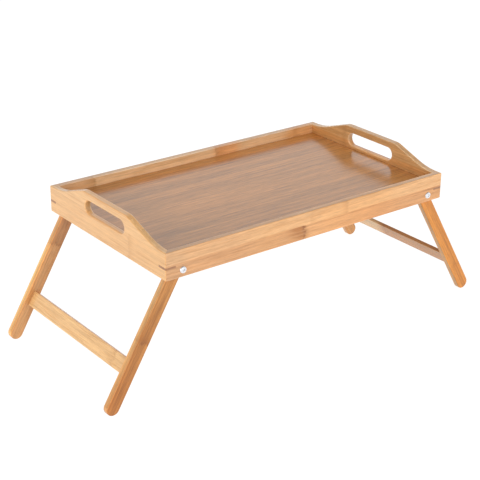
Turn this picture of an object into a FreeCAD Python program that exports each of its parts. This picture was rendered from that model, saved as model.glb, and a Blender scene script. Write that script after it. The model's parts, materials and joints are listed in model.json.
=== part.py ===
"""Folding bamboo bed tray: a mitred, keyed frame around a loose board, on two folding leg frames.

Frame of reference: millimetres, +Z up, +X along the tray's length. The origin is on the floor, midway
between the feet. The tray stands on its opened legs, so its own lower edge is STAND above the floor.
"""

import FreeCAD, Part
import math
import os

import Sketcher
from FreeCAD import Placement, Rotation, Vector

DIMENSIONS = {
    # the frame
    "tray_length": 500,     # over the end panels
    "tray_width": 300,      # over the long rails
    "rail_height": 40,
    "wall": 10,             # thickness of rails and end panels
    "edge_round": 1.5,      # sanded edges of the frame
    "corner_round": 1.5,    # upright corners of the frame
    # the end panels' raised grips, above the rails' top
    "grip_rise": 22,
    "grip_half": 56,        # centre to where the level top meets the slope
    "grip_slope": 19,       # degrees
    "shoulder_round": 30,
    "valley_round": 120,
    "slot_length": 100,
    "slot_height": 20,
    "slot_lift": 0.7,       # centre of the hand hole above the rails' top
    "slot_round": 2.5,
    # the board and its groove
    "board_thick": 4,
    "board_drop": 14.5,     # rails' top to the board's face
    "tongue_relief": 0.4,   # the board's rim is this much lower than its face
    "field_gap": 0.3,       # the board's face to the walls around it
    "groove_depth": 5,
    "board_play": 0.1,
    "board_side_play": 0.5,
    # the slip keys across the mitres
    "key_side": 16,         # length that shows on each face
    "key_thick": 3.2,
    "key_lift": 17.6,       # middle of the key above the rails' lower edge
    "key_play": 0.02,
    # the legs
    "pivot_inset": 27.2,    # from the tray's end
    "pivot_lift": 10.4,     # from the rails' lower edge
    "leg_width": 20,
    "leg_thick": 10,
    "leg_reach": 208,       # pivot to the centre of the round foot
    "leg_round": 1.5,
    "side_play": 0.1,       # each side of a leg
    "stop_gap": 0.05,       # open leg to the end panel that stops it
    # the brace between two legs
    "brace_drop": 140,      # pivot to the brace's upper edge
    "brace_width": 23,
    "brace_thick": 6,
    "brace_set_back": 8.7,  # the legs' outer edges to the brace's outer face
    "brace_round": 1,
    "tenon_length": 5,
    "tenon_shoulder": 1,
    "glue_play": 0.1,
    # the pivot hardware
    "bolt_radius": 3,
    "pivot_play": 0.08,
    "head_radius": 5,
    "head_height": 2.2,
    "socket_radius": 2.1,   # to the corners of the hexagon
    "socket_depth": 1.5,
    "bolt_length": 28.6,    # under the head
    "tip_chamfer": 0.8,
    "spacer_radius": 7,
    "spacer_thick": 1.2,
    "washer_radius": 6.5,
    "washer_thick": 1,
    "nut_radius": 5.77,     # to the corners of the hexagon
    "nut_height": 3.6,
    "collar_radius": 4.6,
    "collar_height": 1.6,
    "insert_radius": 3.9,
    "insert_play": 0.1,
}

SHEET = "Sizes"
LEFT, RIGHT = -1, 1
FRONT, BACK = -1, 1
OVERCUT = 5                 # how far a cutting shape passes what it cuts
MITRE_REACH = 20            # how far the mitre cutters reach inwards, past the walls
HEAD_PROFILE = ((0.55, 1), (0.88, 0.7), (1, 0.25))      # the dome: shares of the head's radius and height
NUT_BEVEL = 0.86            # share of the nut's radius where its bevel starts


def size(name):
    """The value of one driving dimension."""
    return float(DIMENSIONS[name])


def cell(name):
    """A driving dimension as an expression reads it."""
    return f"{SHEET}.{name}"


def stop_arm():
    """Across and up, from the pivot to the centre of the end panel's lower inner rounding."""
    across = f"({cell('pivot_inset')} - {cell('wall')} + {cell('edge_round')})"
    down = f"({cell('pivot_lift')} - {cell('edge_round')})"
    return across, down


def splay_expression():
    """The open leg's degrees from upright, where its side meets the end panel's rounded edge."""
    across, down = stop_arm()
    reach = f"({cell('leg_width')} / 2 + {cell('edge_round')} + {cell('stop_gap')})"
    return f"(acos({reach} / hypot({across}; {down})) - atan({down} / {across}))"


def splay_degrees():
    across = size("pivot_inset") - size("wall") + size("edge_round")
    down = size("pivot_lift") - size("edge_round")
    reach = size("leg_width") / 2 + size("edge_round") + size("stop_gap")
    return math.degrees(math.acos(reach / math.hypot(across, down)) - math.atan(down / across))


SPLAY = splay_expression()
PIVOT_X = f"({cell('tray_length')} / 2 - {cell('pivot_inset')})"
PIVOT_Z = f"({cell('leg_width')} / 2 + {cell('leg_reach')} * cos({SPLAY}))"
STAND = f"({PIVOT_Z} - {cell('pivot_lift')})"
LEG_FACE = f"({cell('tray_width')} / 2 - {cell('wall')} - {cell('spacer_thick')} - {cell('side_play')})"


# ---------------------------------------------------------------- document and sketch helpers

def make_sheet(doc):
    sheet = doc.addObject("Spreadsheet::Sheet", SHEET)
    for row, (name, value) in enumerate(DIMENSIONS.items(), start=1):
        sheet.set(f"A{row}", name)
        sheet.set(f"B{row}", str(value))
        sheet.setAlias(f"B{row}", name)
    doc.recompute()
    return sheet


def make_body(doc, name):
    body = doc.addObject("PartDesign::Body", name)
    body.Label = name
    return body


def add_sketch(body, name, plane, height=None, across=None):
    """An empty sketch on an origin plane of the body, moved by expressions along its normal and across."""
    sketch = body.newObject("Sketcher::SketchObject", name)
    origin = next(f for f in body.Origin.OriginFeatures if f.Role == plane)
    sketch.AttachmentSupport = [(origin, "")]
    sketch.MapMode = "FlatFace"
    if height:
        sketch.setExpression("AttachmentOffset.Base.z", height)
    if across:
        sketch.setExpression("AttachmentOffset.Base.x", across)
    return sketch


def dimension(sketch, kind, refs, value, expression):
    """Adds one driving constraint and binds it to the sheet."""
    index = sketch.addConstraint(Sketcher.Constraint(kind, *refs, value))
    sketch.setExpression(f"Constraints[{index}]", expression)
    return index


def tie(sketch, *pairs):
    """Joins the end of each edge to the start of the next: (edge, end, edge, end)."""
    for first, first_end, second, second_end in pairs:
        sketch.addConstraint(Sketcher.Constraint("Coincident", first, first_end, second, second_end))


def add_rectangle(sketch, half_x, half_y, expression_x, expression_y, centre_y=0.0, expression_centre=None):
    """A rectangle with its sides along the axes, centred on the sketch's vertical axis."""
    low, high = centre_y - half_y, centre_y + half_y
    corners = [Vector(-half_x, low), Vector(half_x, low), Vector(half_x, high), Vector(-half_x, high)]
    first = sketch.GeometryCount
    for start, end in zip(corners, corners[1:] + corners[:1]):
        sketch.addGeometry(Part.LineSegment(start, end))
    lower, right, upper, left = range(first, first + 4)
    tie(sketch, (lower, 2, right, 1), (right, 2, upper, 1), (upper, 2, left, 1), (left, 2, lower, 1))
    sketch.addConstraint(Sketcher.Constraint("Horizontal", upper))
    sketch.addConstraint(Sketcher.Constraint("Vertical", right))
    dimension(sketch, "DistanceX", (lower, 1, lower, 2), 2 * half_x, f"2 * ({expression_x})")
    dimension(sketch, "DistanceY", (right, 1, right, 2), 2 * half_y, f"2 * ({expression_y})")
    sketch.addConstraint(Sketcher.Constraint("Symmetric", lower, 1, lower, 2, -2))
    if expression_centre is None:
        sketch.addConstraint(Sketcher.Constraint("Symmetric", left, 1, left, 2, -1))
    else:
        sketch.addConstraint(Sketcher.Constraint("Vertical", left))
        dimension(sketch, "DistanceY", (-1, 1, lower, 1), low, f"{expression_centre} - ({expression_y})")


def add_circle(sketch, radius, expression):
    """A circle on the sketch's origin."""
    index = sketch.addGeometry(Part.Circle(Vector(0, 0), Vector(0, 0, 1), radius))
    sketch.addConstraint(Sketcher.Constraint("Coincident", index, 3, -1, 1))
    dimension(sketch, "Radius", (index,), radius, expression)


def add_stadium(sketch, radius, half, lift, expression_radius, expression_half, expression_lift):
    """A lying slot with round ends, centred on the vertical axis, its middle raised by lift."""
    right = sketch.addGeometry(
        Part.ArcOfCircle(Part.Circle(Vector(half, lift), Vector(0, 0, 1), radius), -math.pi / 2, math.pi / 2))
    upper = sketch.addGeometry(Part.LineSegment(Vector(half, lift + radius), Vector(-half, lift + radius)))
    left_circle = Part.Circle(Vector(-half, lift), Vector(0, 0, 1), radius)
    left = sketch.addGeometry(Part.ArcOfCircle(left_circle, math.pi / 2, 3 * math.pi / 2))
    lower = sketch.addGeometry(Part.LineSegment(Vector(-half, lift - radius), Vector(half, lift - radius)))
    for first, first_end, second, second_end in (
            (right, 2, upper, 1), (upper, 2, left, 1), (left, 2, lower, 1), (lower, 2, right, 1)):
        sketch.addConstraint(Sketcher.Constraint("Tangent", first, first_end, second, second_end))
    sketch.addConstraint(Sketcher.Constraint("Equal", left, right))
    sketch.addConstraint(Sketcher.Constraint("Symmetric", left, 3, right, 3, -2))
    dimension(sketch, "Radius", (right,), radius, expression_radius)
    dimension(sketch, "DistanceX", (left, 3, right, 3), 2 * half, f"2 * ({expression_half})")
    dimension(sketch, "DistanceY", (-1, 1, right, 3), lift, expression_lift)


def prove(sketch):
    """Stops the build where a sketch's constraints clash, say a thing twice or leave something free."""
    sketch.Document.recompute()
    faults = (sketch.solve(), sketch.ConflictingConstraints, sketch.RedundantConstraints,
              sketch.PartiallyRedundantConstraints, sketch.MalformedConstraints)
    if any(faults) or not sketch.FullyConstrained:
        raise RuntimeError(f"{sketch.Name}: {faults}, fully constrained: {sketch.FullyConstrained}")


def add_pad(body, sketch, expression, both_ways=False, reverse=False):
    prove(sketch)
    pad = body.newObject("PartDesign::Pad", f"{sketch.Name}_pad")
    pad.Profile = sketch
    pad.Midplane = both_ways
    pad.Reversed = reverse
    pad.setExpression("Length", expression)
    body.Document.recompute()
    return pad


def add_pocket(body, sketch, expression=None, both_ways=False, reverse=False):
    """Cuts the sketch out of the body, right through if there is no expression, and proves that it cut."""
    prove(sketch)
    before = body.Shape.Volume
    pocket = body.newObject("PartDesign::Pocket", f"{sketch.Name}_pocket")
    pocket.Profile = sketch
    pocket.Midplane = both_ways
    pocket.Reversed = reverse
    if expression is None:
        pocket.Type = "ThroughAll"
    else:
        pocket.setExpression("Length", expression)
    body.Document.recompute()
    if body.Shape.Volume >= before - 1e-6:
        raise RuntimeError(f"{pocket.Name} in {body.Label} cuts nothing")
    return pocket


def add_fillet(body, expression, wanted):
    """Rounds every edge of the body's tip for which wanted(edge) is true."""
    tip = body.Tip
    names = [f"Edge{i}" for i, edge in enumerate(tip.Shape.Edges, start=1) if wanted(edge)]
    fillet = body.newObject("PartDesign::Fillet", f"{body.Name}_{tip.Name}_round")
    fillet.Base = (tip, names)
    fillet.setExpression("Radius", expression)
    body.Document.recompute()
    return fillet


def place(piece, x="0", y="0", z="0", axis=None, turn=None):
    """Sets a piece's Placement by expressions: where it is, and how far it turns about axis."""
    if axis is not None:
        piece.Placement = Placement(Vector(), Rotation(axis, 1))
        piece.setExpression("Placement.Rotation.Angle", turn)
    for letter, expression in zip("xyz", (x, y, z)):
        piece.setExpression(f"Placement.Base.{letter}", expression)
    return piece


# ---------------------------------------------------------------- the frame

def grip_points():
    """One half of the end panel's top line, above the rails' top: the foot and head of its slope."""
    run = size("grip_rise") / math.tan(math.radians(size("grip_slope")))
    return size("grip_half") + run, size("grip_half")


def add_grip_cutter(sketch):
    """The region above the frame: level over the rails, sweeping up to the level grip, the same both ways."""
    top, rise = size("rail_height"), size("grip_rise")
    slope = math.radians(size("grip_slope"))
    foot, head = grip_points()
    valley, shoulder = size("valley_round"), size("shoulder_round")
    valley_reach = valley * math.tan(slope / 2)
    shoulder_reach = shoulder * math.tan(slope / 2)
    wide = size("tray_width") / 2 + OVERCUT
    high = top + rise + OVERCUT
    up = math.pi / 2
    edges = {}

    def line(name, start, end):
        edges[name] = sketch.addGeometry(Part.LineSegment(Vector(*start), Vector(*end)))

    def arc(name, centre, radius, begin, finish):
        circle = Part.Circle(Vector(*centre), Vector(0, 0, 1), radius)
        edges[name] = sketch.addGeometry(Part.ArcOfCircle(circle, begin, finish))

    dx, dz = math.cos(slope), math.sin(slope)
    line("flat_r", (wide, top), (foot + valley_reach, top))
    arc("valley_r", (foot + valley_reach, top + valley), valley, -up - slope, -up)
    line("slope_r", (foot - valley_reach * dx, top + valley_reach * dz),
         (head + shoulder_reach * dx, top + rise - shoulder_reach * dz))
    arc("shoulder_r", (head - shoulder_reach, top + rise - shoulder), shoulder, up - slope, up)
    line("grip", (head - shoulder_reach, top + rise), (-head + shoulder_reach, top + rise))
    arc("shoulder_l", (-head + shoulder_reach, top + rise - shoulder), shoulder, up, up + slope)
    line("slope_l", (-head - shoulder_reach * dx, top + rise - shoulder_reach * dz),
         (-foot + valley_reach * dx, top + valley_reach * dz))
    arc("valley_l", (-foot - valley_reach, top + valley), valley, -up, -up + slope)
    line("flat_l", (-foot - valley_reach, top), (-wide, top))
    line("side_l", (-wide, top), (-wide, high))
    line("over", (-wide, high), (wide, high))
    line("side_r", (wide, high), (wide, top))
    e = edges
    smooth = (
        (e["flat_r"], 2, e["valley_r"], 2), (e["valley_r"], 1, e["slope_r"], 1),
        (e["slope_r"], 2, e["shoulder_r"], 1), (e["shoulder_r"], 2, e["grip"], 1),
        (e["grip"], 2, e["shoulder_l"], 1), (e["shoulder_l"], 2, e["slope_l"], 1),
        (e["slope_l"], 2, e["valley_l"], 2), (e["valley_l"], 1, e["flat_l"], 1),
    )
    for pair in smooth:
        sketch.addConstraint(Sketcher.Constraint("Tangent", *pair))
    tie(sketch, (e["flat_l"], 2, e["side_l"], 1), (e["side_l"], 2, e["over"], 1),
        (e["over"], 2, e["side_r"], 1), (e["side_r"], 2, e["flat_r"], 1))
    for name in ("flat_r", "flat_l"):
        sketch.addConstraint(Sketcher.Constraint("Horizontal", e[name]))
    for name in ("side_l", "side_r"):
        sketch.addConstraint(Sketcher.Constraint("Vertical", e[name]))
    for left, right in (("valley_l", "valley_r"), ("shoulder_l", "shoulder_r")):
        sketch.addConstraint(Sketcher.Constraint("Equal", e[left], e[right]))
    for name in ("over", "grip"):
        sketch.addConstraint(Sketcher.Constraint("Symmetric", e[name], 1, e[name], 2, -2))
    tangent = f"{cell('shoulder_round')} * tan({cell('grip_slope')} * 1deg / 2)"
    dimension(sketch, "DistanceY", (-1, 1, e["flat_r"], 1), top, cell("rail_height"))
    dimension(sketch, "DistanceY", (e["flat_r"], 1, e["grip"], 1), rise, cell("grip_rise"))
    dimension(sketch, "DistanceX", (e["grip"], 2, e["grip"], 1), 2 * (head - shoulder_reach),
              f"2 * ({cell('grip_half')} - {tangent})")
    dimension(sketch, "Radius", (e["valley_r"],), valley, cell("valley_round"))
    dimension(sketch, "Radius", (e["shoulder_r"],), shoulder, cell("shoulder_round"))
    dimension(sketch, "Angle", (e["shoulder_r"],), slope, f"{cell('grip_slope')} * 1deg")
    dimension(sketch, "Angle", (e["shoulder_l"],), slope, f"{cell('grip_slope')} * 1deg")
    dimension(sketch, "DistanceX", (e["over"], 1, e["over"], 2), 2 * wide,
              f"{cell('tray_width')} + {2 * OVERCUT}")
    dimension(sketch, "DistanceY", (e["grip"], 1, e["over"], 1), OVERCUT, f"{OVERCUT}")
    dimension(sketch, "DistanceY", (e["flat_l"], 1, e["grip"], 1), rise, cell("grip_rise"))


def is_frame_edge(edge):
    """True for the edges that are sanded round: the rims, above and below, and the hand holes."""
    box = edge.BoundBox
    middle = edge.valueAt((edge.FirstParameter + edge.LastParameter) / 2)
    upright = box.ZLength > size("rail_height") / 2
    across_wall = box.XLength > 1 and box.YLength < 1e-6 and abs(middle.x) < size("tray_length") / 2 - 1e-6 \
        and abs(middle.x) > size("tray_length") / 2 - size("wall") + 1e-6
    return not upright and not across_wall


def is_hand_hole_edge(edge):
    box = edge.BoundBox
    low = size("rail_height") + size("slot_lift") - size("slot_height") / 2 - 1e-3
    high = size("rail_height") + size("slot_lift") + size("slot_height") / 2 + 1e-3
    return box.XLength < 1e-6 and abs(box.YMin) < size("slot_length") / 2 + 1 \
        and abs(box.YMax) < size("slot_length") / 2 + 1 and box.ZMin > low and box.ZMax < high


def add_rounded_block(body, height):
    """The tray's plan as a solid block with its upright corners rounded."""
    plan = add_sketch(body, f"{body.Name}_plan", "XY_Plane")
    add_rectangle(plan, size("tray_length") / 2, size("tray_width") / 2,
                  f"{cell('tray_length')} / 2", f"{cell('tray_width')} / 2")
    add_pad(body, plan, height)
    add_fillet(body, cell("corner_round"), lambda e: e.BoundBox.ZLength > 1)


def make_frame_blank(doc):
    """The frame as glued up and sanded, before it is seen as four mitred pieces. Its lower edge is at z 0."""
    body = make_body(doc, "frame_blank")
    half_x, half_y, wall = size("tray_length") / 2, size("tray_width") / 2, size("wall")
    outer_x, outer_y = f"{cell('tray_length')} / 2", f"{cell('tray_width')} / 2"
    inner_x, inner_y = f"{outer_x} - {cell('wall')}", f"{outer_y} - {cell('wall')}"

    add_rounded_block(body, f"{cell('rail_height')} + {cell('grip_rise')}")
    well = add_sketch(body, "frame_well", "XY_Plane")
    add_rectangle(well, half_x - wall, half_y - wall, inner_x, inner_y)
    add_pocket(body, well, both_ways=True)

    grip = add_sketch(body, "grip_line", "YZ_Plane")
    add_grip_cutter(grip)
    add_pocket(body, grip, both_ways=True)
    add_fillet(body, cell("edge_round"), is_frame_edge)

    slot = add_sketch(body, "hand_hole", "YZ_Plane")
    add_stadium(slot, size("slot_height") / 2, (size("slot_length") - size("slot_height")) / 2,
                size("rail_height") + size("slot_lift"),
                f"{cell('slot_height')} / 2", f"({cell('slot_length')} - {cell('slot_height')}) / 2",
                f"{cell('rail_height')} + {cell('slot_lift')}")
    add_pocket(body, slot, both_ways=True)
    add_fillet(body, cell("slot_round"), is_hand_hole_edge)

    tongue_top = f"{cell('rail_height')} - {cell('board_drop')} - {cell('tongue_relief')}"
    groove = add_sketch(body, "board_groove", "XY_Plane", f"{tongue_top} + {cell('board_play')}")
    add_rectangle(groove, half_x - wall + size("groove_depth"), half_y - wall + size("groove_depth"),
                  f"{inner_x} + {cell('groove_depth')}", f"{inner_y} + {cell('groove_depth')}")
    add_pocket(body, groove, f"{cell('board_thick')} - {cell('tongue_relief')} + 2 * {cell('board_play')}")

    drill = add_sketch(body, "pivot_holes", "XZ_Plane")
    for side in (LEFT, RIGHT):
        centre = Vector(side * (half_x - size("pivot_inset")), size("pivot_lift"))
        circle = drill.addGeometry(Part.Circle(centre, Vector(0, 0, 1), size("bolt_radius")))
        bore_cells = f"{cell('bolt_radius')} + {cell('pivot_play')}"
        dimension(drill, "Radius", (circle,), size("bolt_radius"), bore_cells)
        refs = (-1, 1, circle, 3) if side == RIGHT else (circle, 3, -1, 1)
        bore_x = half_x - size("pivot_inset")
        dimension(drill, "DistanceX", refs, bore_x, f"{outer_x} - {cell('pivot_inset')}")
        dimension(drill, "DistanceY", (-1, 1, circle, 3), size("pivot_lift"), cell("pivot_lift"))
    add_pocket(body, drill, both_ways=True)
    return body


def make_mitre_cutter(doc, name, along, across):
    """A wedge with 45 degree ends that holds one side of the frame and nothing of its neighbours.

    It lies along the row of the frame given by the sheet's cell along, at the outer face across / 2.
    """
    wedge = doc.addObject("Part::Wedge", name)
    outer = f"{cell(along)} / 2 + {OVERCUT}"
    inner = f"{cell(along)} / 2 - {MITRE_REACH}"
    wedge.setExpression("Xmin", f"-({outer})")
    wedge.setExpression("Xmax", outer)
    wedge.setExpression("X2min", f"-({inner})")
    wedge.setExpression("X2max", inner)
    wedge.setExpression("Ymin", f"-({cell(across)} / 2 + {OVERCUT})")
    wedge.setExpression("Ymax", f"-({cell(across)} / 2 - {MITRE_REACH})")
    for low, high in (("Zmin", "Zmax"), ("Z2min", "Z2max")):
        wedge.setExpression(low, f"-{OVERCUT}")
        wedge.setExpression(high, f"{cell('rail_height')} + {cell('grip_rise')} + {OVERCUT}")
    return wedge


def make_key_blank(doc, name, shrink):
    """A thin triangle across one corner of the plan, its upright side on the mitre's outside."""
    body = make_body(doc, name)
    sketch = add_sketch(body, f"{name}_outline", "XY_Plane")
    reach, side = OVERCUT, size("key_side") + OVERCUT
    points = [Vector(-reach, -reach), Vector(side, -reach), Vector(-reach, side)]
    for start, end in zip(points, points[1:] + points[:1]):
        sketch.addGeometry(Part.LineSegment(start, end))
    tie(sketch, (0, 2, 1, 1), (1, 2, 2, 1), (2, 2, 0, 1))
    sketch.addConstraint(Sketcher.Constraint("Horizontal", 0))
    sketch.addConstraint(Sketcher.Constraint("Vertical", 2))
    dimension(sketch, "DistanceX", (0, 1, -1, 1), reach, f"{OVERCUT}")
    dimension(sketch, "DistanceY", (0, 1, -1, 1), reach, f"{OVERCUT}")
    # each leg of the triangle passes the corner by OVERCUT and its slanted side crosses the faces at key_side
    dimension(sketch, "DistanceX", (-1, 1, 0, 2), side, f"{cell('key_side')} + {OVERCUT}")
    dimension(sketch, "DistanceY", (-1, 1, 1, 2), side, f"{cell('key_side')} + {OVERCUT}")
    add_pad(body, sketch, f"{cell('key_thick')} - 2 * {shrink}", both_ways=True)
    return body


def corner_turn(side, end):
    """Turn about Z that carries the left front corner's triangle to the corner given by side and end."""
    return {(LEFT, FRONT): 0, (RIGHT, FRONT): 90, (RIGHT, BACK): 180, (LEFT, BACK): 270}[(side, end)]


def make_frame(doc):
    """Four mitred pieces and the four slip keys let into their corners. Returns the pieces by name."""
    blank = make_frame_blank(doc)
    outline = make_body(doc, "tray_outline")
    add_rounded_block(outline, cell("rail_height"))

    slots, pieces = [], {}
    for side, side_name in ((LEFT, "left"), (RIGHT, "right")):
        for end, end_name in ((FRONT, "front"), (BACK, "back")):
            corner_x = f"{side} * {cell('tray_length')} / 2"
            corner = (corner_x, f"{end} * {cell('tray_width')} / 2", cell("key_lift"))
            turn = f"{corner_turn(side, end)}"
            slot = make_key_blank(doc, f"{end_name}_{side_name}_key_slot", "0")
            slots.append(place(slot, *corner, axis=Vector(0, 0, 1), turn=turn))
            key_blank = make_key_blank(doc, f"{end_name}_{side_name}_key_blank", cell("key_play"))
            place(key_blank, *corner, axis=Vector(0, 0, 1), turn=turn)
            key = doc.addObject("Part::Common", f"{end_name}_{side_name}_corner_key")
            key.Base, key.Tool = key_blank, outline
            pieces[key.Name] = key

    slotted = doc.addObject("Part::Cut", "frame_slotted")
    all_slots = doc.addObject("Part::MultiFuse", "key_slots")
    all_slots.Shapes = slots
    slotted.Base, slotted.Tool = blank, all_slots

    for name, along, across, turn in (
            ("front_rail", "tray_length", "tray_width", 0),
            ("right_end_panel", "tray_width", "tray_length", 90),
            ("back_rail", "tray_length", "tray_width", 180),
            ("left_end_panel", "tray_width", "tray_length", 270)):
        cutter = make_mitre_cutter(doc, f"{name}_mitres", along, across)
        place(cutter, axis=Vector(0, 0, 1), turn=f"{turn}")
        piece = doc.addObject("Part::Common", name)
        piece.Base, piece.Tool = slotted, cutter
        pieces[name] = piece
    for piece in pieces.values():
        place(piece, z=STAND)
    return pieces


def make_board(doc):
    """The loose panel that the plates stand on, its rim thinned from above into a tongue for the groove."""
    body = make_body(doc, "tray_board")
    well_x, well_y = size("tray_length") / 2 - size("wall"), size("tray_width") / 2 - size("wall")
    well_x_cells = f"{cell('tray_length')} / 2 - {cell('wall')}"
    well_y_cells = f"{cell('tray_width')} / 2 - {cell('wall')}"

    reach = size("groove_depth") - size("board_side_play")
    reach_cells = f"{cell('groove_depth')} - {cell('board_side_play')}"
    rim = add_sketch(body, "board_rim", "XY_Plane")
    add_rectangle(rim, well_x + reach, well_y + reach,
                  f"{well_x_cells} + {reach_cells}", f"{well_y_cells} + {reach_cells}")
    add_pad(body, rim, f"{cell('board_thick')} - {cell('tongue_relief')}")

    gap, gap_cell = size("field_gap"), cell("field_gap")
    field = add_sketch(body, "board_field", "XY_Plane")
    add_rectangle(field, well_x - gap, well_y - gap,
                  f"{well_x_cells} - {gap_cell}", f"{well_y_cells} - {gap_cell}")
    add_pad(body, field, cell("board_thick"))
    height = f"{STAND} + {cell('rail_height')} - {cell('board_drop')} - {cell('board_thick')}"
    return {"tray_board": place(body, z=height)}


# ---------------------------------------------------------------- the leg frames

def brace_centre(side):
    """The brace's middle plane in the drawn leg's X: it stands back from the legs' outer edges."""
    return f"{side} * ({cell('leg_width')} / 2 - {cell('brace_set_back')} - {cell('brace_thick')} / 2)"


def make_leg(doc, name, side, end):
    """A flat bar with round ends. It is drawn hanging from its pivot, then swung out to its stop."""
    body = make_body(doc, name)
    half, reach = size("leg_width") / 2, size("leg_reach")
    outline = add_sketch(body, f"{name}_outline", "XZ_Plane")
    top = outline.addGeometry(
        Part.ArcOfCircle(Part.Circle(Vector(0, 0), Vector(0, 0, 1), half), 0, math.pi))
    left = outline.addGeometry(Part.LineSegment(Vector(-half, 0), Vector(-half, -reach)))
    foot = outline.addGeometry(
        Part.ArcOfCircle(Part.Circle(Vector(0, -reach), Vector(0, 0, 1), half), math.pi, 2 * math.pi))
    right = outline.addGeometry(Part.LineSegment(Vector(half, -reach), Vector(half, 0)))
    for pair in ((top, 2, left, 1), (left, 2, foot, 1), (foot, 2, right, 1), (right, 2, top, 1)):
        outline.addConstraint(Sketcher.Constraint("Tangent", *pair))
    outline.addConstraint(Sketcher.Constraint("Coincident", top, 3, -1, 1))
    outline.addConstraint(Sketcher.Constraint("PointOnObject", foot, 3, -2))
    outline.addConstraint(Sketcher.Constraint("Equal", top, foot))
    dimension(outline, "Radius", (top,), half, f"{cell('leg_width')} / 2")
    dimension(outline, "DistanceY", (foot, 3, -1, 1), reach, cell("leg_reach"))
    add_pad(body, outline, cell("leg_thick"), both_ways=True)
    add_fillet(body, cell("leg_round"), lambda e: e.BoundBox.YLength < 1e-6)

    hole = add_sketch(body, f"{name}_hole", "XZ_Plane")
    add_circle(hole, size("bolt_radius"), f"{cell('bolt_radius')} + {cell('pivot_play')}")
    add_pocket(body, hole, both_ways=True)

    # the XZ plane's normal is -Y, so a front leg's inner face is below the plane and a back leg's above it
    inner_face = f"{end} * {cell('leg_thick')} / 2"
    mortise = add_sketch(body, f"{name}_mortise", "XZ_Plane", inner_face, brace_centre(side))
    grow = f"{cell('glue_play')} - {cell('tenon_shoulder')}"
    add_rectangle(mortise, size("brace_thick") / 2, size("brace_width") / 2,
                  f"{cell('brace_thick')} / 2 + {grow}", f"{cell('brace_width')} / 2 + {grow}",
                  -size("brace_drop") - size("brace_width") / 2,
                  f"-{cell('brace_drop')} - {cell('brace_width')} / 2")
    add_pocket(body, mortise, f"{cell('tenon_length')} + {cell('glue_play')}", reverse=end == FRONT)
    return place(body, f"{side} * {PIVOT_X}", f"{end} * ({LEG_FACE} - {cell('leg_thick')} / 2)", PIVOT_Z,
                 axis=Vector(0, 1, 0), turn=f"{-side} * {SPLAY}")


def make_brace(doc, name, side):
    """The flat bar between two legs, with a stub tenon at each end. It swings with them."""
    body = make_body(doc, name)
    middle = -size("brace_drop") - size("brace_width") / 2
    middle_expression = f"-{cell('brace_drop')} - {cell('brace_width')} / 2"
    clear = f"2 * ({LEG_FACE} - {cell('leg_thick')})"
    bar = add_sketch(body, f"{name}_bar", "XZ_Plane", across=brace_centre(side))
    add_rectangle(bar, size("brace_thick") / 2, size("brace_width") / 2,
                  f"{cell('brace_thick')} / 2", f"{cell('brace_width')} / 2", middle, middle_expression)
    add_pad(body, bar, clear, both_ways=True)
    add_fillet(body, cell("brace_round"), lambda e: e.BoundBox.YLength > 1)
    tenons = add_sketch(body, f"{name}_tenons", "XZ_Plane", across=brace_centre(side))
    add_rectangle(tenons, size("brace_thick") / 2, size("brace_width") / 2,
                  f"{cell('brace_thick')} / 2 - {cell('tenon_shoulder')}",
                  f"{cell('brace_width')} / 2 - {cell('tenon_shoulder')}", middle, middle_expression)
    add_pad(body, tenons, f"{clear} + 2 * {cell('tenon_length')}", both_ways=True)
    return place(body, f"{side} * {PIVOT_X}", "0", PIVOT_Z, axis=Vector(0, 1, 0), turn=f"{-side} * {SPLAY}")


# ---------------------------------------------------------------- the pivot hardware

def add_profile(sketch, points):
    """A closed run of straight edges through (radius, height) pairs of numbers and their expressions."""
    corners = [Vector(r, h) for (r, _), (h, _) in points]
    for start, end in zip(corners, corners[1:] + corners[:1]):
        sketch.addGeometry(Part.LineSegment(start, end))
    count = len(points)
    tie(sketch, *[(i, 2, (i + 1) % count, 1) for i in range(count)])
    for i, ((r, r_expression), (h, h_expression)) in enumerate(points):
        for kind, number, expression in (("DistanceX", r, r_expression), ("DistanceY", h, h_expression)):
            if expression is None:
                axis = -2 if kind == "DistanceX" else -1
                sketch.addConstraint(Sketcher.Constraint("PointOnObject", i, 1, axis))
            elif number > 0:
                dimension(sketch, kind, (-1, 1, i, 1), number, expression)
            else:
                dimension(sketch, kind, (i, 1, -1, 1), -number, f"-({expression})")


def add_revolution(body, sketch, cut=False):
    """Turns a sketch once about the body's Y axis."""
    prove(sketch)
    kind = "PartDesign::Groove" if cut else "PartDesign::Revolution"
    turned = body.newObject(kind, f"{sketch.Name}_turned")
    turned.Profile = sketch
    turned.ReferenceAxis = (sketch, ["V_Axis"])
    turned.Angle = 360
    body.Document.recompute()
    return turned


def add_hexagon(sketch, radius, expression):
    """A hexagon on the sketch's origin with two corners on the horizontal axis."""
    angles = [k * math.pi / 3 for k in range(6)]
    corners = [Vector(radius * math.cos(angle), radius * math.sin(angle)) for angle in angles]
    first = sketch.GeometryCount
    for start, end in zip(corners, corners[1:] + corners[:1]):
        sketch.addGeometry(Part.LineSegment(start, end))
    circle = sketch.addGeometry(Part.Circle(Vector(0, 0), Vector(0, 0, 1), radius), True)
    sketch.addConstraint(Sketcher.Constraint("Coincident", circle, 3, -1, 1))
    tie(sketch, *[(first + i, 2, first + (i + 1) % 6, 1) for i in range(6)])
    for i in range(6):
        sketch.addConstraint(Sketcher.Constraint("PointOnObject", first + i, 1, circle))
    for i in range(1, 6):
        sketch.addConstraint(Sketcher.Constraint("Equal", first, first + i))
    sketch.addConstraint(Sketcher.Constraint("PointOnObject", first, 1, -1))
    dimension(sketch, "Radius", (circle,), radius, expression)


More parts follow.
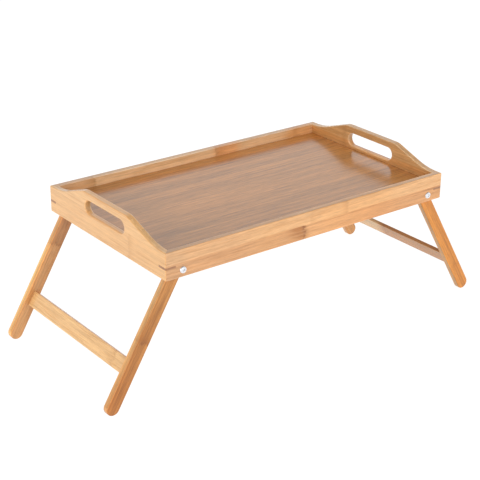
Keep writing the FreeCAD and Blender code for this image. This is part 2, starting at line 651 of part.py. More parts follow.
def make_bolt(doc, name):
    """A domed socket-head bolt: head below the plane y 0, shank along +Y."""
    body = make_body(doc, name)
    radius, length = size("bolt_radius"), size("bolt_length")
    head, height = size("head_radius"), size("head_height")
    chamfer, chamfer_cell = size("tip_chamfer"), cell("tip_chamfer")
    points = [((0, None), (-height, f"-{cell('head_height')}"))]
    for out, up in HEAD_PROFILE:
        across = (head * out, f"{cell('head_radius')} * {out}")
        outwards = (-height * up, f"-{cell('head_height')} * {up}")
        points.append((across, outwards))
    points += [
        ((head, cell("head_radius")), (0, None)),
        ((radius, cell("bolt_radius")), (0, None)),
        ((radius, cell("bolt_radius")), (length - chamfer, f"{cell('bolt_length')} - {chamfer_cell}")),
        ((radius - chamfer, f"{cell('bolt_radius')} - {chamfer_cell}"), (length, cell("bolt_length"))),
        ((0, None), (length, cell("bolt_length"))),
    ]
    profile = add_sketch(body, f"{name}_profile", "XY_Plane")
    add_profile(profile, points)
    add_revolution(body, profile)
    socket = add_sketch(body, f"{name}_socket", "XZ_Plane", cell("head_height"))
    add_hexagon(socket, size("socket_radius"), cell("socket_radius"))
    add_pocket(body, socket, cell("socket_depth"))
    return body


def make_ring(doc, name, outer, thick, clear="0"):
    """A flat ring around the bolt, from the plane y 0 inwards along +Y."""
    body = make_body(doc, name)
    sketch = add_sketch(body, f"{name}_outline", "XZ_Plane")
    add_circle(sketch, size(outer), cell(outer))
    bore_cells = f"{cell('bolt_radius')} + {cell('pivot_play')}"
    add_circle(sketch, size("bolt_radius") + size("pivot_play"), bore_cells)
    add_pad(body, sketch, f"{cell(thick)} - {clear}", reverse=True)
    return body


def make_nut(doc, name):
    """A hexagon with a round collar that is hollowed for the locking ring, from the plane y 0 along +Y."""
    body = make_body(doc, name)
    hexagon = add_sketch(body, f"{name}_hexagon", "XZ_Plane")
    add_hexagon(hexagon, size("nut_radius"), cell("nut_radius"))
    add_pad(body, hexagon, cell("nut_height"), reverse=True)
    collar = add_sketch(body, f"{name}_collar", "XZ_Plane")
    add_circle(collar, size("collar_radius"), cell("collar_radius"))
    add_pad(body, collar, f"{cell('nut_height')} + {cell('collar_height')}", reverse=True)

    chamfer = add_sketch(body, f"{name}_chamfer", "XY_Plane")
    radius, height = size("nut_radius"), size("nut_height")
    outer = f"{cell('nut_radius')} + 1"
    add_profile(chamfer, [
        ((radius * NUT_BEVEL, f"{cell('nut_radius')} * {NUT_BEVEL}"), (height, cell("nut_height"))),
        ((radius + 1, outer), (height - 1, f"{cell('nut_height')} - 1")),
        ((radius + 1, outer), (height, cell("nut_height"))),
    ])
    add_revolution(body, chamfer, cut=True)

    bore = add_sketch(body, f"{name}_bore", "XZ_Plane")
    add_circle(bore, size("bolt_radius"), cell("bolt_radius"))
    add_pocket(body, bore, both_ways=True)
    seat = add_sketch(body, f"{name}_seat", "XZ_Plane", f"-{cell('nut_height')} - {cell('collar_height')}")
    add_circle(seat, size("insert_radius"), cell("insert_radius"))
    add_pocket(body, seat, cell("collar_height"), reverse=True)
    return body


def make_hardware(doc):
    """Bolt, spacer, washer, lock nut and its ring at each of the four pivots."""
    pieces = {}
    outside = f"{cell('tray_width')} / 2"
    spacer = f"({outside} - {cell('wall')})"
    washer = f"({LEG_FACE} - {cell('leg_thick')} - {cell('side_play')})"
    nut = f"({washer} - {cell('washer_thick')})"
    insert = f"({nut} - {cell('nut_height')})"
    for side, side_name in ((LEFT, "left"), (RIGHT, "right")):
        for end, end_name in ((FRONT, "front"), (BACK, "back")):
            corner = f"{end_name}_{side_name}"
            insert_name, insert_play = f"{corner}_nut_insert", cell("insert_play")
            made = [
                (make_bolt(doc, f"{corner}_pivot_bolt"), outside),
                (make_ring(doc, f"{corner}_spacer_washer", "spacer_radius", "spacer_thick"), spacer),
                (make_ring(doc, f"{corner}_steel_washer", "washer_radius", "washer_thick"), washer),
                (make_nut(doc, f"{corner}_lock_nut"), nut),
                (make_ring(doc, insert_name, "insert_radius", "collar_height", insert_play), insert),
            ]
            for piece, distance in made:
                # a back pivot is the front one turned half round
                place(piece, f"{side} * {PIVOT_X}", f"{end} * {distance}", PIVOT_Z,
                      axis=Vector(0, 0, 1), turn="0" if end == FRONT else "180")
                pieces[piece.Label] = piece
    return pieces


# ---------------------------------------------------------------- the whole

def check(doc, pieces):
    for item in doc.Objects:
        if "Invalid" in item.State or "Error" in item.State:
            raise RuntimeError(f"{item.Name} failed: {item.State}")
    for name, piece in pieces.items():
        if piece.Shape.isNull() or not piece.Shape.isValid() or not piece.Shape.Solids:
            raise RuntimeError(f"{name} has no valid solid")


def main():
    doc = FreeCAD.newDocument("bed_tray")
    make_sheet(doc)
    pieces = make_frame(doc)
    pieces.update(make_board(doc))
    for side, side_name in ((LEFT, "left"), (RIGHT, "right")):
        for end, end_name in ((FRONT, "front"), (BACK, "back")):
            name = f"{end_name}_{side_name}_leg"
            pieces[name] = make_leg(doc, name, side, end)
        pieces[f"{side_name}_leg_brace"] = make_brace(doc, f"{side_name}_leg_brace", side)
    pieces.update(make_hardware(doc))
    doc.recompute()
    check(doc, pieces)

    os.makedirs("parts", exist_ok=True)
    for name, piece in pieces.items():
        piece.Label = name
        piece.Shape.exportStep(f"parts/{name}.step")
    print(f"{len(pieces)} pieces, legs open at {splay_degrees():.2f} degrees from upright")


main()
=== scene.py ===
"""Looks of the folding bamboo bed tray: camera, plain studio, and one procedural material per piece.

Everything is in metres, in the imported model's own frame: +X along the tray, +Z up, the floor at z 0.
"""

import json
import math

import bpy
from mathutils import Matrix, Vector


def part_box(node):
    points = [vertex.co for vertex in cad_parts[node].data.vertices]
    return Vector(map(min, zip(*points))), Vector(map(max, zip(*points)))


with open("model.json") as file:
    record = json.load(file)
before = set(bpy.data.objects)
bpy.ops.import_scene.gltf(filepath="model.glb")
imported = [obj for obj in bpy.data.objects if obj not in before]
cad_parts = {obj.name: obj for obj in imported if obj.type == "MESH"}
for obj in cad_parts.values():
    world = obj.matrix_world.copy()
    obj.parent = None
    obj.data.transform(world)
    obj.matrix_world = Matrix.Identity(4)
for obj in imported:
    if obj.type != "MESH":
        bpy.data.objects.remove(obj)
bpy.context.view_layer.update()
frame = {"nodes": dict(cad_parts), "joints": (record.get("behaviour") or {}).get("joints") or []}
NODES = frame["nodes"]
JOINTS = {joint["name"]: joint for joint in frame["joints"]}

MM = 0.001
LENGTHWISE, CROSSWISE, UPRIGHT = Vector((1, 0, 0)), Vector((0, 1, 0)), Vector((0, 0, 1))
CORNERS = ("front_left", "front_right", "back_left", "back_right")


# ---------------------------------------------------------------- camera and studio

CAMERA_PLACE = Vector((-1.0807, -1.3987, 0.8974))
CAMERA_AZIMUTH = -37.29      # 0 looks along +Y, negative from the left
CAMERA_ELEVATION = 23.74
CAMERA_ROLL = 0.46
CAMERA_LENS, CAMERA_SENSOR = 96.0, 36.0      # mm
CAMERA_REACH = 100.0

FLOOR_SIDE = 30.0
FLOOR_COLOUR = (0.25, 0.25, 0.25, 1)
FLOOR_GLOW = 0.90            # a lit white table: its own light makes up for its darker surface
HORIZON_LIGHT, ZENITH_LIGHT = 0.98, 0.28
HORIZON_TOP, ZENITH_START = 0.40, 0.95       # heights on the unit sphere between which the light falls off

SOFTBOX_SIDE = 1.4
SOFTBOX_TARGET = Vector((0.0, 0.0, 0.15))
SOFTBOXES = {"front_softbox": (Vector((-0.5, -2.4, 1.3)), 15.0),       # place and power in watts
             "left_softbox": (Vector((-2.6, -0.3, 0.7)), 10.0)}


def make_camera():
    azimuth, elevation, roll = (math.radians(a) for a in (CAMERA_AZIMUTH, CAMERA_ELEVATION, CAMERA_ROLL))
    back = Vector((math.sin(azimuth) * math.cos(elevation), -math.cos(azimuth) * math.cos(elevation),
                   math.sin(elevation)))
    level = (-back).cross(UPRIGHT).normalized()
    upward = level.cross(-back)
    right = math.cos(roll) * level + math.sin(roll) * upward
    up = -math.sin(roll) * level + math.cos(roll) * upward
    data = bpy.data.cameras.new("studio_camera")
    data.lens = CAMERA_LENS
    data.sensor_width = CAMERA_SENSOR
    data.clip_end = CAMERA_REACH
    camera = bpy.data.objects.new("studio_camera", data)
    bpy.context.scene.collection.objects.link(camera)
    turn = Matrix((right, up, back)).transposed()
    camera.matrix_world = Matrix.Translation(CAMERA_PLACE) @ turn.to_4x4()
    bpy.context.scene.camera = camera


def make_floor():
    half = FLOOR_SIDE / 2
    mesh = bpy.data.meshes.new("studio_floor")
    corners = [(-half, -half, 0), (half, -half, 0), (half, half, 0), (-half, half, 0)]
    mesh.from_pydata(corners, [], [(0, 1, 2, 3)])
    floor = bpy.data.objects.new("studio_floor", mesh)
    bpy.context.scene.collection.objects.link(floor)
    g = Graph("studio_floor")
    g.set(Base_Color=FLOOR_COLOUR, Roughness=0.9, Specular_IOR_Level=0.0,
          Emission_Color=(1, 1, 1, 1), Emission_Strength=FLOOR_GLOW)
    mesh.materials.append(g.material)


def make_world():
    """A white studio: bright walls round a dimmer ceiling."""
    world = bpy.data.worlds.new("studio")
    bpy.context.scene.world = world
    world.use_nodes = True
    tree = world.node_tree
    background = tree.nodes["Background"]
    background.inputs["Color"].default_value = (1, 1, 1, 1)
    place = tree.nodes.new("ShaderNodeTexCoord")
    height = tree.nodes.new("ShaderNodeSeparateXYZ")
    light = tree.nodes.new("ShaderNodeMapRange")
    light.interpolation_type = "SMOOTHSTEP"
    light.inputs["From Min"].default_value = HORIZON_TOP
    light.inputs["From Max"].default_value = ZENITH_START
    light.inputs["To Min"].default_value = HORIZON_LIGHT
    light.inputs["To Max"].default_value = ZENITH_LIGHT
    tree.links.new(place.outputs["Generated"], height.inputs[0])
    tree.links.new(height.outputs["Z"], light.inputs["Value"])
    tree.links.new(light.outputs["Result"], background.inputs["Strength"])


def make_lights():
    for name, (place, power) in SOFTBOXES.items():
        data = bpy.data.lights.new(name, "AREA")
        data.shape = "SQUARE"
        data.size = SOFTBOX_SIDE
        data.energy = power
        lamp = bpy.data.objects.new(name, data)
        lamp.location = place
        lamp.rotation_euler = (SOFTBOX_TARGET - place).to_track_quat("-Z", "Y").to_euler()
        bpy.context.scene.collection.objects.link(lamp)


# ---------------------------------------------------------------- shader helpers

class Graph:
    """One material, built by plain calls that each return an output socket."""

    def __init__(self, name):
        self.material = bpy.data.materials.new(name)
        self.material.use_nodes = True
        self.nodes = self.material.node_tree.nodes
        self.links = self.material.node_tree.links
        self.shader = self.nodes["Principled BSDF"]

    def feed(self, socket, value):
        """Links an output to an input, or sets the input's own value."""
        if isinstance(value, bpy.types.NodeSocket):
            self.links.new(value, socket)
        elif value is not None:
            socket.default_value = value

    def set(self, **values):
        """Feeds the shader's inputs, named with _ for a space."""
        for name, value in values.items():
            self.feed(self.shader.inputs[name.replace("_", " ")], value)

    def math(self, operation, first, second=None, third=None):
        node = self.nodes.new("ShaderNodeMath")
        node.operation = operation
        for socket, value in zip(node.inputs, (first, second, third)):
            self.feed(socket, value)
        return node.outputs[0]

    def swing(self, value, amount):
        """How far the value is from 0.5, the middle of a noise, times the amount."""
        return self.times(self.plus(value, -0.5), amount)

    def times(self, *values):
        product = values[0]
        for value in values[1:]:
            product = self.math("MULTIPLY", product, value)
        return product

    def plus(self, *values):
        total = values[0]
        for value in values[1:]:
            total = self.math("ADD", total, value)
        return total

    def vector_math(self, operation, first, second, output=0):
        node = self.nodes.new("ShaderNodeVectorMath")
        node.operation = operation
        self.feed(node.inputs[0], first)
        self.feed(node.inputs[1], second)
        return node.outputs[output]

    def dot(self, vector, direction):
        return self.vector_math("DOT_PRODUCT", vector, tuple(direction), "Value")

    def place(self):
        return self.nodes.new("ShaderNodeTexCoord").outputs["Object"]

    def normal(self):
        return self.nodes.new("ShaderNodeTexCoord").outputs["Normal"]

    def combine(self, x, y, z=0.0):
        node = self.nodes.new("ShaderNodeCombineXYZ")
        for socket, value in zip(node.inputs, (x, y, z)):
            self.feed(socket, value)
        return node.outputs[0]

    def noise(self, coordinates, scales, detail=2.0, roughness=0.5, distortion=0.0):
        """Smooth noise, 0 to 1, with its own scale, in cycles per metre, along each of the coordinates."""
        node = self.nodes.new("ShaderNodeTexNoise")
        scaled = [self.math("MULTIPLY", c, s) for c, s in zip(coordinates, scales)]
        self.feed(node.inputs["Vector"], self.combine(*scaled))
        self.feed(node.inputs["Scale"], 1.0)
        self.feed(node.inputs["Detail"], detail)
        self.feed(node.inputs["Roughness"], roughness)
        self.feed(node.inputs["Distortion"], distortion)
        return node.outputs[0]

    def random(self, x, y, z):
        """Three random numbers for each set of whole numbers."""
        node = self.nodes.new("ShaderNodeTexWhiteNoise")
        self.feed(node.inputs["Vector"], self.combine(x, y, z))
        split = self.nodes.new("ShaderNodeSeparateColor")
        self.links.new(node.outputs["Color"], split.inputs[0])
        return list(split.outputs)

    def smooth(self, value, low, high, start=0.0, end=1.0):
        """start up to low, end from high on, and a smooth step between them; low may be the larger."""
        node = self.nodes.new("ShaderNodeMapRange")
        node.interpolation_type = "SMOOTHSTEP"
        for name, number in zip(("Value", "From Min", "From Max", "To Min", "To Max"),
                                (value, low, high, start, end)):
            self.feed(node.inputs[name], number)
        return node.outputs["Result"]

    def between(self, value, low, high, blur):
        """1 between low and high, 0 outside, with blurred ends."""
        return self.times(self.smooth(value, low - blur, low + blur),
                          self.smooth(value, high - blur, high + blur, 1.0, 0.0))

    def mix(self, first, second, factor):
        node = self.nodes.new("ShaderNodeMix")
        node.data_type = "RGBA"
        self.feed(node.inputs[0], factor)
        self.feed(node.inputs[6], first)
        self.feed(node.inputs[7], second)
        return node.outputs[2]

    def shade(self, colour, amount):
        """The colour times a number."""
        return self.vector_math("MULTIPLY", colour, self.combine(amount, amount, amount))

    def tint(self, colour, tint, where):
        """The colour, multiplied by the tint where `where` is 1 and left alone where it is 0."""
        return self.mix(colour, self.vector_math("MULTIPLY", colour, tint), where)

    def bump(self, height, distance, under=None):
        node = self.nodes.new("ShaderNodeBump")
        self.feed(node.inputs["Height"], height)
        self.feed(node.inputs["Distance"], distance)
        self.feed(node.inputs["Normal"], under)
        return node.outputs[0]


def rgb(red, green, blue):
    return (red, green, blue, 1.0)


def tinted(colour, tint):
    return rgb(*(min(c * t, 1.0) for c, t in zip(colour, tint)))


def dress(node, material):
    mesh = NODES[node].data
    mesh.materials.clear()
    mesh.materials.append(material)


# ---------------------------------------------------------------- bamboo

PLY = 5.2 * MM               # thickness of a layer of strips, over half a wall, so its seam is inside
STRIP = 21.5 * MM            # width of one strip of a frame piece
STAGGER = 0.37               # how far a layer's seams lie from the next layer's, in strips
GLUE_LINE = 0.14 * MM
STRIP_OFFSET, PIECE_OFFSET = 0.8, 1.7        # metres of grain between the figures of two strips, two pieces

# cycles per metre along, across and through the grain
BROAD_SCALES, MID_SCALES = (5, 130, 130), (16, 330, 330)
FINE_SCALES, FIBRE_SCALES = (60, 800, 800), (60, 2800, 2800)
TONE_SWING, BROAD_SWING, MID_SWING, FINE_SWING = 0.14, 0.40, 0.52, 0.55

REDDER = (0.98, 0.84, 0.66)
# edge tints: the pale one is paler worn wood with a painted highlight along the inner rounded edge; the
# dark one darkens the legs' edges
PALE_EDGE_AND_HIGHLIGHT, DULL_EDGE, DARK_EDGE = rgb(1.28, 1.55, 2.20), rgb(0.98, 0.95, 0.92), rgb(0.84, 0.72, 0.60)
STAIN, DARK_LINE = (0.63, 0.48, 0.28), (0.50, 0.36, 0.19)
DASH, GLUE, END_GRAIN = (0.76,) * 3, (0.62,) * 3, (0.74,) * 3
LIGHTEST = (0.96,) * 3

# the knuckles' rings
RING_WAVER, RING_RAGGED = 12 * MM, 14 * MM   # how far a ring strays, slowly and from fibre to fibre
RING_SCALES = (25, 160)
RING_CORE, RING_WIDTH, RIDGE_WIDTH = 0.3 * MM, 3 * MM, 4 * MM
STAIN_START = 3 * MM         # half the length over which a stain sets in at its ring
MARK_EDGE = 0.3 * MM

GRAIN_RELIEF, ROLL_RELIEF = 0.035 * MM, 0.10 * MM

# mm, as all places on a bar are: how far is past its ends, and where a rail's and a panel's tone changes
BEYOND = 400
RAIL_STEP, PANEL_STEP = 1.5, 6.5


class Bar:
    """How a piece lies: its node, its middle, and the directions of its grain, width and thickness."""

    def __init__(self, node, grain, across, through):
        low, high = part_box(node)
        self.node = node
        self.middle = (low + high) / 2
        self.grain, self.across, self.through = grain, across, through

    def coordinates(self, g):
        """The distances from the middle along the three directions."""
        place = g.vector_math("SUBTRACT", g.place(), tuple(self.middle))
        return [g.dot(place, direction) for direction in (self.grain, self.across, self.through)]


class Mark:
    """A knuckle, in mm from the bar's middle.

    at: along the grain; low, high: over which part of the width; reach: how far its stain fades away,
    towards the sign; line, stain: how dark the ring and the stain are.
    """

    def __init__(self, at, low, high, reach, line, stain):
        self.at, self.low, self.high, self.reach = at, low, high, reach
        self.line, self.stain = line, stain


class Zone:
    """A part of a bar with a tint, in mm: mostly a tone of the wood, a few painted shade or highlight.

    along, across: its ends along the grain and across the width; blur, edge: half the length of the soft
    step at each.
    """

    def __init__(self, tint, along=(-BEYOND, BEYOND), across=(-BEYOND, BEYOND), blur=12, edge=0.4):
        self.tint, self.along, self.across = tint, along, across
        self.blur, self.edge = blur, edge


def add_marks(g, u, v, mid, fine, marks):
    """Adds up the knuckles. Returns how much stain, dark ring and ridge there is."""
    stain, ring, ridge = 0.0, 0.0, 0.0
    waver = g.swing(g.noise((u, v), RING_SCALES), RING_WAVER)
    ragged = g.swing(fine, RING_RAGGED)
    patchy = g.smooth(mid, 0.36, 0.60, 0.25, 1.0)
    for mark in marks:
        along = g.plus(u, waver, ragged, -mark.at * MM)
        over = g.between(v, mark.low * MM, mark.high * MM, MARK_EDGE)
        away = g.math("MULTIPLY", along, 1.0 / (mark.reach * MM))
        before, after = (0.0, 1.0) if mark.reach > 0 else (1.0, 0.0)
        fade = g.times(g.smooth(along, -STAIN_START, STAIN_START, before, after),
                       g.smooth(away, 0.0, 1.0, 1.0, 0.0))
        distance = g.math("ABSOLUTE", along)
        near = g.smooth(distance, RING_CORE, RING_WIDTH, 1.0, 0.0)
        stain = g.plus(stain, g.times(fade, patchy, over, mark.stain))
        ring = g.plus(ring, g.times(near, over, patchy, mark.line))
        ridge = g.plus(ridge, g.times(g.smooth(distance, 0.0, RIDGE_WIDTH, 1.0, 0.0), over))
    return stain, ring, ridge


def make_bamboo(bar, colour, seed, marks=(), zones=(), strip=STRIP, shift=-1.5, contrast=1.0, warmth=1.0,
                side_tint=(1, 1, 1), edge_tints=(PALE_EDGE_AND_HIGHLIGHT, DULL_EDGE), gloss=(0.40, 0.30), specular=0.25,
                coat=(0.8, 0.18, 1.5)):
    """Laminated bamboo: strips and layers with their own tones, fibres along the grain, and knuckles.

    colour is the mean; seed sets the random tones; shift moves the strips' seams, in mm; contrast scales
    the streaks and warmth their redness; side_tint is for the narrow sides and edge_tints for the rounded
    edges on the bar.through side and on the other, the default on the through side being paler worn wood
    with a painted highlight; gloss is the roughness and how far it varies; specular is the wood's own
    sheen; coat is the lacquer's weight, roughness and IOR.
    """
    g = Graph(bar.node)
    u, v, w = bar.coordinates(g)
    facing_end, facing_side, facing_front = (
        g.math("ABSOLUTE", g.dot(g.normal(), d)) for d in (bar.grain, bar.across, bar.through))

    ply_at = g.math("DIVIDE", w, PLY)
    ply = g.math("FLOOR", ply_at)
    strip_at = g.math("DIVIDE", g.plus(v, -shift * MM, g.times(g.plus(ply, 1.0), STAGGER * strip)), strip)
    tone, hue, offset = g.random(g.math("FLOOR", strip_at), ply, seed)

    own_u = g.plus(u, g.times(offset, STRIP_OFFSET), seed * PIECE_OFFSET)
    broad = g.noise((own_u, v, w), BROAD_SCALES, detail=3.0, distortion=0.5)
    mid = g.noise((own_u, v, w), MID_SCALES, detail=4.0, roughness=0.62, distortion=0.3)
    fine = g.noise((own_u, v, w), FINE_SCALES, detail=3.0, roughness=0.65, distortion=0.2)
    fibre = g.noise((own_u, v, w), FIBRE_SCALES, detail=1.0)
    dashes = g.smooth(fibre, 0.60, 0.74)

    seam = GLUE_LINE / 2
    strip_gap = g.times(g.math("ABSOLUTE", g.math("WRAP", strip_at, 0.5, -0.5)), strip)
    ply_gap = g.times(g.math("ABSOLUTE", g.math("WRAP", ply_at, 0.5, -0.5)), PLY)
    glue = g.math("MAXIMUM", g.smooth(strip_gap, seam, 4 * seam, 1.0, 0.0),
                  g.smooth(ply_gap, seam, 4 * seam, 1.0, 0.0))

    amount = g.plus(1.0, g.swing(tone, TONE_SWING * contrast), g.swing(broad, BROAD_SWING * contrast),
                    g.swing(mid, MID_SWING * contrast), g.swing(fine, FINE_SWING * contrast))
    wood = g.mix(colour, tinted(colour, REDDER), g.times(hue, 0.5 * warmth))
    wood = g.mix(wood, tinted(colour, REDDER), g.smooth(mid, 0.52, 0.30, 0.0, 0.8 * warmth))
    wood = g.shade(wood, amount)
    wood = g.tint(wood, side_tint, g.smooth(facing_side, 0.35, 0.75))
    for zone in zones:
        inside = g.times(g.between(u, zone.along[0] * MM, zone.along[1] * MM, zone.blur * MM),
                         g.between(v, zone.across[0] * MM, zone.across[1] * MM, zone.edge * MM))
        wood = g.tint(wood, zone.tint, inside)
    wood = g.tint(wood, DASH, g.times(dashes, 0.55))
    stain, ring, ridge = add_marks(g, u, v, mid, fine, marks)
    wood = g.tint(wood, STAIN, stain)
    wood = g.tint(wood, DARK_LINE, ring)
    wood = g.tint(wood, GLUE, g.times(glue, 0.6))
    # rounded edges take the edge tints; the default one on the through side is paler worn wood with a
    # painted highlight
    rounded_edge = g.times(g.smooth(facing_front, 0.05, 0.30), g.smooth(facing_front, 0.80, 0.99, 1.0, 0.0))
    edge_tint = g.mix(edge_tints[1], edge_tints[0], g.smooth(g.dot(g.normal(), bar.through), -0.05, 0.05))
    wood = g.tint(wood, edge_tint, g.times(rounded_edge, g.smooth(fine, 0.3, 0.6, 0.5, 1.0)))
    cut = g.smooth(facing_end, 0.45, 0.95)
    wood = g.tint(wood, END_GRAIN, cut)
    wood = g.vector_math("MINIMUM", wood, LIGHTEST)

    rough = g.plus(gloss[0], g.swing(fine, gloss[1]), g.times(dashes, 0.08), g.times(stain, 0.06),
                   g.times(cut, 0.15), g.times(rounded_edge, 0.05))
    relief = g.plus(g.times(fibre, 0.35), g.times(fine, 0.65), g.times(glue, -0.5))
    rolled = g.bump(g.plus(ridge, g.times(broad, 0.6)), ROLL_RELIEF)
    g.set(Base_Color=wood, Roughness=rough, Normal=g.bump(relief, GRAIN_RELIEF, rolled), IOR=1.5,
          Specular_IOR_Level=specular, Coat_Weight=coat[0], Coat_Roughness=coat[1], Coat_IOR=coat[2])
    return g.material


FRAME_LOOKS = {
    "front_rail": dict(
        colour=rgb(0.78, 0.445, 0.19), seed=3, contrast=1.4, side_tint=(1.04, 1.02, 1.0),
        marks=[Mark(-18, -20, RAIL_STEP, -38, 0.7, 1.25), Mark(-18, -20, RAIL_STEP, 12, 0.0, 0.7),
               Mark(-18, -9, RAIL_STEP, -120, 0.0, 0.40),
               Mark(-6, RAIL_STEP, 20, 18, 0.08, 0.30), Mark(62, RAIL_STEP, 20, -14, 0.20, 0.40)],
        zones=[Zone((1.00, 1.00, 1.06), across=(RAIL_STEP, 30)),
               Zone((0.91, 0.83, 0.81), across=(-30, RAIL_STEP)),
               Zone((0.93, 0.93, 0.98), along=(-BEYOND, -110), blur=40),
               Zone((0.92, 0.95, 1.0), along=(-BEYOND, -218)),
               Zone((0.99, 0.94, 0.85), along=(10, 150), blur=30),
               Zone((0.94, 0.89, 0.84), along=(80, BEYOND), across=(-30, RAIL_STEP), blur=40)]),
    "back_rail": dict(
        colour=rgb(0.885, 0.565, 0.305), seed=5, contrast=1.1, side_tint=(0.88, 0.82, 0.74),
        marks=[Mark(-180, -20, 20, -24, 0.5, 0.8), Mark(42, -20, 20, 30, 0.55, 0.7),
               Mark(200, -20, 20, 22, 0.12, 0.5)],
        zones=[Zone((0.97, 0.90, 0.84), along=(-240, -190)), Zone((1.02, 0.81, 0.64), along=(42, 86)),
               Zone((0.98, 0.82, 0.64), along=(186, 240))]),
    "left_end_panel": dict(
        colour=rgb(0.82, 0.475, 0.197), seed=8, shift=-15.0, contrast=0.9,
        marks=[Mark(-62, -31, PANEL_STEP, -14, 0.14, 0.28)]),
    "right_end_panel": dict(
        colour=rgb(0.715, 0.348, 0.115), seed=12, shift=-15.0, contrast=1.2,
        marks=[Mark(58, -31, 31, 12, 0.10, 0.40), Mark(-98, -31, PANEL_STEP, 14, 0.12, 0.35)],
        zones=[Zone((0.98, 1.12, 1.36), across=(PANEL_STEP, 40))]),
}


def dress_frame():
    for node, look in FRAME_LOOKS.items():
        panel = node.endswith("panel")
        grain, inwards = (CROSSWISE, LENGTHWISE) if panel else (LENGTHWISE, CROSSWISE)
        if node.startswith(("back", "right")):
            inwards = -inwards
        dress(node, make_bamboo(Bar(node, grain, UPRIGHT, inwards), **look))


WELL_LENGTH, WELL_WIDTH = 477.5, 277.5       # mm, the well inside the frame, where a thin line of painted shade edges the board
PAINTED_CORNER_SHADE = (0.62, 0.50, 0.38)


def dress_board():
    bar = Bar("tray_board", LENGTHWISE, CROSSWISE, UPRIGHT)
    zones = [Zone((0.85, 0.87, 0.86), along=(-BEYOND, -140), blur=50),
             Zone((1.22, 1.08, 1.0), along=(-280, BEYOND), across=(106, 124), blur=60, edge=10)]
    # a thin line of painted shade along the board where it meets the frame
    for sign in (-1, 1):
        sides, ends = (sorted((sign * edge, sign * BEYOND)) for edge in (WELL_WIDTH / 2, WELL_LENGTH / 2))
        zones.append(Zone(PAINTED_CORNER_SHADE, across=sides))
        zones.append(Zone(PAINTED_CORNER_SHADE, along=ends, blur=0.4))
    dress(bar.node, make_bamboo(
        bar, colour=rgb(0.548, 0.231, 0.054), seed=21, zones=zones, strip=18 * MM, contrast=2.0,
        warmth=0.25, gloss=(0.30, 0.10), specular=0.0, coat=(1.0, 0.20, 1.95)))


LEG_STRIP = 6.7 * MM
LEG_LACQUER = (0.45, 0.2, 1.5)
LEG_LOOKS = {
    "front_left_leg": dict(
        colour=rgb(0.545, 0.225, 0.054), seed=31, marks=[Mark(8, -10, 10, -18, 0.45, 0.6)],
        side_tint=(1.44, 1.85, 2.70),
        zones=[Zone((1.05, 1.16, 1.36), along=(-BEYOND, -45), blur=40),
               Zone((0.96, 0.88, 0.78), along=(50, BEYOND), blur=40)]),
    "back_left_leg": dict(
        colour=rgb(0.625, 0.325, 0.13), seed=34, marks=[Mark(-40, -10, 10, -14, 0.55, 0.35)],
        # the darker top of this leg is painted shadow, where the tray above shades it
        side_tint=(1.56, 1.64, 1.42), zones=[Zone((0.76, 0.72, 0.74), along=(-BEYOND, -40), blur=14)]),
    "front_right_leg": dict(
        colour=rgb(0.685, 0.262, 0.040), seed=37, marks=[Mark(60, -10, 10, 16, 0.10, 0.3)],
        side_tint=(0.76, 1.05, 2.05)),
    "back_right_leg": dict(
        colour=rgb(0.66, 0.32, 0.11), seed=41, marks=[Mark(-30, -10, 10, -16, 0.35, 0.4)],
        side_tint=(0.90, 1.0, 1.20)),
}
BRACE_LOOKS = {
    "left": dict(colour=rgb(0.86, 0.52, 0.225), seed=44, marks=[Mark(-96, -12, 12, 16, 0.25, 0.4)],
                 side_tint=(0.72, 0.61, 0.51), contrast=1.2),
    "right": dict(colour=rgb(0.44, 0.20, 0.050), seed=47, marks=[Mark(12, -12, 12, -14, 0.20, 0.35)],
                  # the paler, bluer back part of this brace is a painted highlight: the lacquer's glare
                  # drawn as paler wood
                  zones=[Zone((1.40, 2.0, 3.7), along=(22, BEYOND), blur=12)]),
}


def leg_directions(side):
    """Down one side's legs from the pivot, and outwards across them."""
    pivot = Vector(JOINTS[f"{side}_legs_fold"]["pos_m"])
    low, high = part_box(f"front_{side}_leg")
    down = (low + high) / 2 - pivot
    down.y = 0
    down.normalize()
    outwards = Vector((-down.z, 0, down.x)) * (1 if side == "right" else -1)
    return down, outwards


def dress_legs():
    for side in ("left", "right"):
        down, outwards = leg_directions(side)
        for end in ("front", "back"):
            node = f"{end}_{side}_leg"
            dress(node, make_bamboo(
                Bar(node, down, outwards, CROSSWISE), strip=LEG_STRIP, shift=LEG_STRIP / 2 / MM,
                contrast=1.6, edge_tints=(DARK_EDGE, DARK_EDGE), coat=LEG_LACQUER, **LEG_LOOKS[node]))
        node = f"{side}_leg_brace"
        dress(node, make_bamboo(Bar(node, CROSSWISE, down, outwards), **BRACE_LOOKS[side]))


# ---------------------------------------------------------------- keys and hardware

KEY_WOOD, KEY_STREAK, KEY_PORE = rgb(0.45, 0.215, 0.10), rgb(0.33, 0.145, 0.062), rgb(0.10, 0.045, 0.02)
STREAK_SCALES, PORE_SCALES = (60, 900, 1500), (140, 3000, 3000)
KEY_RELIEF = 0.03 * MM

BRIGHT_PLATE, ZINC = rgb(0.90, 0.91, 0.93), rgb(0.72, 0.72, 0.71)
CLOUDED, RING_SHADE = (0.84, 0.84, 0.86), (0.70, 0.69, 0.68)
TURNING_SCALES, CLOUD_SCALES = (5200, 2600), (260, 260, 260)
TURNING_RELIEF = 0.012 * MM
METAL_PARTS = {"pivot_bolt": (BRIGHT_PLATE, 0.20), "lock_nut": (BRIGHT_PLATE, 0.26),   # colour, roughness
               "spacer_washer": (ZINC, 0.34), "steel_washer": (ZINC, 0.30)}

NYLON, DULL_NYLON = rgb(0.86, 0.85, 0.78), rgb(0.76, 0.75, 0.68)
MOTTLE_SCALES = (400, 400, 400)
NYLON_RELIEF = 0.02 * MM


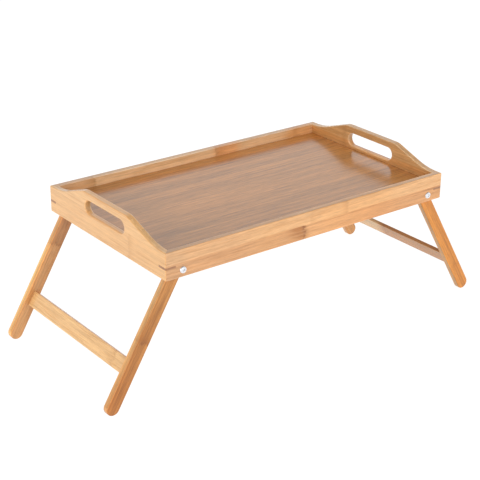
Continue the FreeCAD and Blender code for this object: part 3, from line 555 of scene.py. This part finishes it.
def make_key_wood(bar, seed):
    """Dark hardwood with fine streaks along the slip."""
    g = Graph(bar.node)
    u, v, w = bar.coordinates(g)
    streak = g.noise((g.plus(u, seed), v, w), STREAK_SCALES, detail=3.0, distortion=0.3)
    pores = g.smooth(g.noise((g.plus(u, seed), v, w), PORE_SCALES, detail=1.0), 0.58, 0.72)
    wood = g.mix(KEY_WOOD, KEY_STREAK, g.smooth(streak, 0.3, 0.7))
    wood = g.mix(wood, KEY_PORE, g.times(pores, 0.7))
    g.set(Base_Color=wood, Roughness=g.plus(0.38, g.times(streak, 0.15)), IOR=1.5,
          Normal=g.bump(g.plus(streak, g.times(pores, -1.0)), KEY_RELIEF), Coat_Weight=0.2,
          Coat_Roughness=0.22)
    return g.material


def make_turned_metal(bar, colour, roughness, seed):
    """Plated steel with the fine rings of turning round the bar's across direction, and rubbed spots."""
    g = Graph(bar.node)
    x, y, z = bar.coordinates(g)
    radius = g.math("SQRT", g.plus(g.times(x, x), g.times(z, z)))
    rings = g.noise((radius, y), TURNING_SCALES, detail=2.0)
    cloud = g.noise((g.plus(x, seed), y, z), CLOUD_SCALES, detail=3.0)
    rubbed = g.smooth(cloud, 0.52, 0.68)
    metal = g.mix(colour, tinted(colour, CLOUDED), g.smooth(cloud, 0.3, 0.7))
    metal = g.mix(metal, tinted(colour, RING_SHADE), g.times(g.smooth(rings, 0.55, 0.7), 0.35))
    g.set(Base_Color=metal, Metallic=1.0, Normal=g.bump(rings, TURNING_RELIEF),
          Roughness=g.plus(roughness, g.times(rings, 0.10), g.times(rubbed, 0.08)))
    return g.material


def make_nylon(bar, seed):
    """Milky plastic, faintly mottled."""
    g = Graph(bar.node)
    x, y, z = bar.coordinates(g)
    cloud = g.noise((g.plus(x, seed), y, z), MOTTLE_SCALES, detail=3.0)
    g.set(Base_Color=g.mix(NYLON, DULL_NYLON, g.smooth(cloud, 0.35, 0.7)),
          Roughness=g.plus(0.38, g.times(cloud, 0.12)), IOR=1.53, Normal=g.bump(cloud, NYLON_RELIEF),
          Subsurface_Weight=0.15, Subsurface_Scale=0.5 * MM)
    return g.material


def dress_small_parts():
    for number, corner in enumerate(CORNERS):
        along_x = 1 if corner in ("front_left", "back_right") else -1
        slant = Vector((along_x, -1, 0)).normalized()
        key = Bar(f"{corner}_corner_key", slant, UPRIGHT.cross(slant), UPRIGHT)
        dress(key.node, make_key_wood(key, number))
        for part, (colour, roughness) in METAL_PARTS.items():
            metal = Bar(f"{corner}_{part}", LENGTHWISE, CROSSWISE, UPRIGHT)
            dress(metal.node, make_turned_metal(metal, colour, roughness, number))
        ring = Bar(f"{corner}_nut_insert", LENGTHWISE, CROSSWISE, UPRIGHT)
        dress(ring.node, make_nylon(ring, number))


# ---------------------------------------------------------------- the whole

make_camera()
make_world()
make_floor()
make_lights()
dress_frame()
dress_board()
dress_legs()
dress_small_parts()

scene = bpy.context.scene
scene.view_settings.view_transform = "Standard"
scene.view_settings.look = "None"
